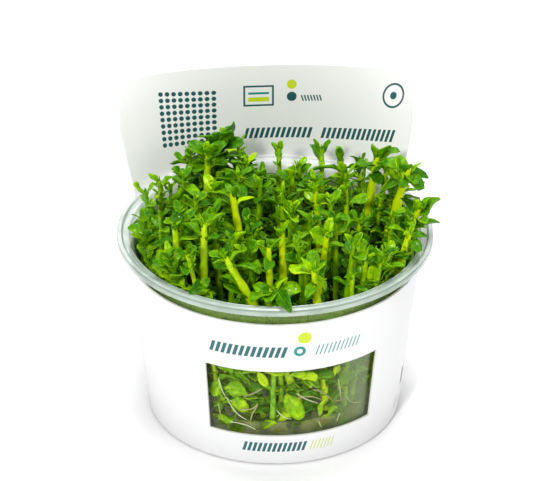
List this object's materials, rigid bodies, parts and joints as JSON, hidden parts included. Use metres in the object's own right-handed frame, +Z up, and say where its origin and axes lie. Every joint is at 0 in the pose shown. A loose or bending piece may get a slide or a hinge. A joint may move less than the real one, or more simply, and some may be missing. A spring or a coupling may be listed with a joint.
{
  "type": "aquarium stem plants in a growing cup",
  "caption": "Clump of leafy green aquarium stem plants in a clear round growing cup with nutrient gel, held in a white card sleeve with a window and a tall header tab.",
  "frame": {"origin": "centre of the cup's flat underside, on the surface it stands on", "axes": "+Z up the cup's axis; the sleeve's window faces -Y and the header tab stands over +Y"},
  "size_m": [0.0801, 0.0834, 0.0753],
  "materials": {
    "clear_plastic": "clear gloss",
    "card": "coated card, satin",
    "gel": "cloudy gel",
    "plant": "moist leaf, soft gloss"
  },
  "bodies": {
    "root": {"cup": "clear_plastic", "card_sleeve": "card", "culture_gel": "gel", "shoot_01": "plant", "shoot_02": "plant", "shoot_03": "plant", "shoot_04": "plant", "shoot_05": "plant", "shoot_06": "plant", "shoot_07": "plant", "shoot_08": "plant", "shoot_09": "plant", "shoot_10": "plant", "shoot_11": "plant", "shoot_12": "plant", "shoot_13": "plant", "shoot_14": "plant", "shoot_15": "plant", "shoot_16": "plant", "shoot_17": "plant", "shoot_18": "plant", "shoot_19": "plant", "shoot_20": "plant", "shoot_21": "plant", "shoot_22": "plant", "shoot_23": "plant", "shoot_24": "plant", "shoot_25": "plant", "shoot_26": "plant", "shoot_27": "plant", "shoot_28": "plant", "shoot_29": "plant", "shoot_30": "plant", "shoot_31": "plant", "shoot_32": "plant", "shoot_33": "plant", "shoot_34": "plant", "shoot_35": "plant", "shoot_36": "plant", "shoot_37": "plant", "shoot_38": "plant", "shoot_39": "plant", "shoot_40": "plant", "shoot_41": "plant", "shoot_42": "plant", "shoot_43": "plant", "shoot_44": "plant", "shoot_45": "plant", "shoot_46": "plant", "shoot_47": "plant", "shoot_48": "plant", "shoot_49": "plant", "shoot_50": "plant", "shoot_51": "plant", "shoot_52": "plant", "shoot_53": "plant", "shoot_54": "plant", "shoot_55": "plant"}
  },
  "joints": []
}
